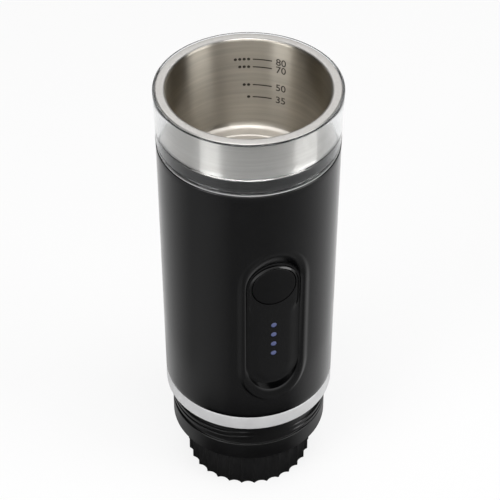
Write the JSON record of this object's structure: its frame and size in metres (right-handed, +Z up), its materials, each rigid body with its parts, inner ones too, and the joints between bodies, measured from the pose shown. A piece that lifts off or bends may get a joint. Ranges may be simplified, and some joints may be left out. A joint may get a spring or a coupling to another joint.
{
  "type": "portable espresso maker",
  "caption": "Slim upright battery espresso maker: open steel water tank in a clear window ring, push-button panel with status lights, and a fluted screw-on brew cap.",
  "frame": {"origin": "on the axis, at the plane that the brew cap stands on", "axes": "+Z up along the axis, and the control panel faces -Y"},
  "size_m": [0.067, 0.067, 0.177],
  "materials": {
    "tank_steel": "satin brushed",
    "clear_plastic": "clear polished",
    "shell_black": "satin black",
    "panel_black": "satin black",
    "button_black": "matt black",
    "status_blue": "translucent blue",
    "band_silver": "grained satin",
    "collar_black": "satin black",
    "cap_black": "satin black",
    "cover_black": "matt black",
    "seal_grey": "matt",
    "brass": "turned",
    "copper_coil": "wound",
    "inner_plastic": "moulded",
    "white_plastic": "moulded",
    "board_green": "lacquered",
    "cell_wrap": "wrapped",
    "plain_steel": "plain"
  },
  "bodies": {
    "housing": {"water_tank": "tank_steel", "tank_window": "clear_plastic", "window_seal": "seal_grey", "tank_outlet": "brass", "outlet_washer": "seal_grey", "outlet_nut": "brass", "tank_strainer": "tank_steel", "heater_plate": "plain_steel", "heater_pad": "white_plastic", "thermistor": "brass", "thermal_fuse": "white_plastic", "upper_deck": "inner_plastic", "tie_screws": "plain_steel", "body_shell": "shell_black", "trim_band": "band_silver", "control_panel": "panel_black", "tact_switch": "inner_plastic", "light_pipe_1": "status_blue", "light_pipe_2": "status_blue", "light_pipe_3": "status_blue", "light_pipe_4": "status_blue", "status_lights": "white_plastic", "control_board": "board_green", "power_board": "board_green", "usb_socket": "plain_steel", "cover_pin": "plain_steel", "cell_left": "cell_wrap", "cell_right": "cell_wrap", "cell_contacts": "plain_steel", "upper_cradle": "inner_plastic", "lower_cradle": "inner_plastic", "pump_head": "white_plastic", "outlet_valve": "seal_grey", "guide_tube": "plain_steel", "pump_coil": "copper_coil", "pump_yoke": "plain_steel", "yoke_plate": "plain_steel", "return_spring": "plain_steel", "buffer_spring": "plain_steel", "pump_inlet": "white_plastic", "inlet_hose": "seal_grey", "pressure_pipe": "plain_steel", "pipe_seal": "seal_grey", "thread_collar": "collar_black", "brew_head": "inner_plastic", "head_screws": "plain_steel", "brew_gasket": "seal_grey", "shower_plate": "plain_steel", "shower_screws": "plain_steel"},
    "button": {"power_button": "button_black", "switch_stem": "white_plastic"},
    "basket": {"filter_basket": "plain_steel"},
    "cap": {"brew_cap": "cap_black", "cap_spout": "white_plastic"},
    "port_cover": {"usb_cover": "cover_black"},
    "plunger": {"pump_plunger": "plain_steel"}
  },
  "joints": [
    {"name": "button_press", "type": "slide", "parent": "housing", "child": "button", "axis": [0, 1, 0], "range_m": [0, 0.0006], "stiffness_N_per_m": 1500, "springref_m": -0.0004},
    {"name": "basket_drop", "type": "slide", "parent": "housing", "child": "basket", "axis": [0, 0, -1], "range_m": [0, 0.0135]},
    {"name": "cap_unscrew", "type": "hinge", "parent": "basket", "child": "cap", "pos_m": [0, 0, 0.0204], "axis": [0, 0, -1], "range_deg": [0, 1080]},
    {"name": "cover_open", "type": "hinge", "parent": "housing", "child": "port_cover", "pos_m": [-0.0075, 0.03034, 0.0696], "axis": [0, 0, 1], "range_deg": [0, 95]},
    {"name": "plunger_stroke", "type": "slide", "parent": "housing", "child": "plunger", "axis": [0, 0, 1], "range_m": [-0.002, 0.002], "stiffness_N_per_m": 1500, "deforming": ["return_spring", "buffer_spring"]}
  ],
  "couplings": [
    {"joint": "basket_drop", "follows": "cap_unscrew", "m_per_rad": 0.0007162}
  ]
}
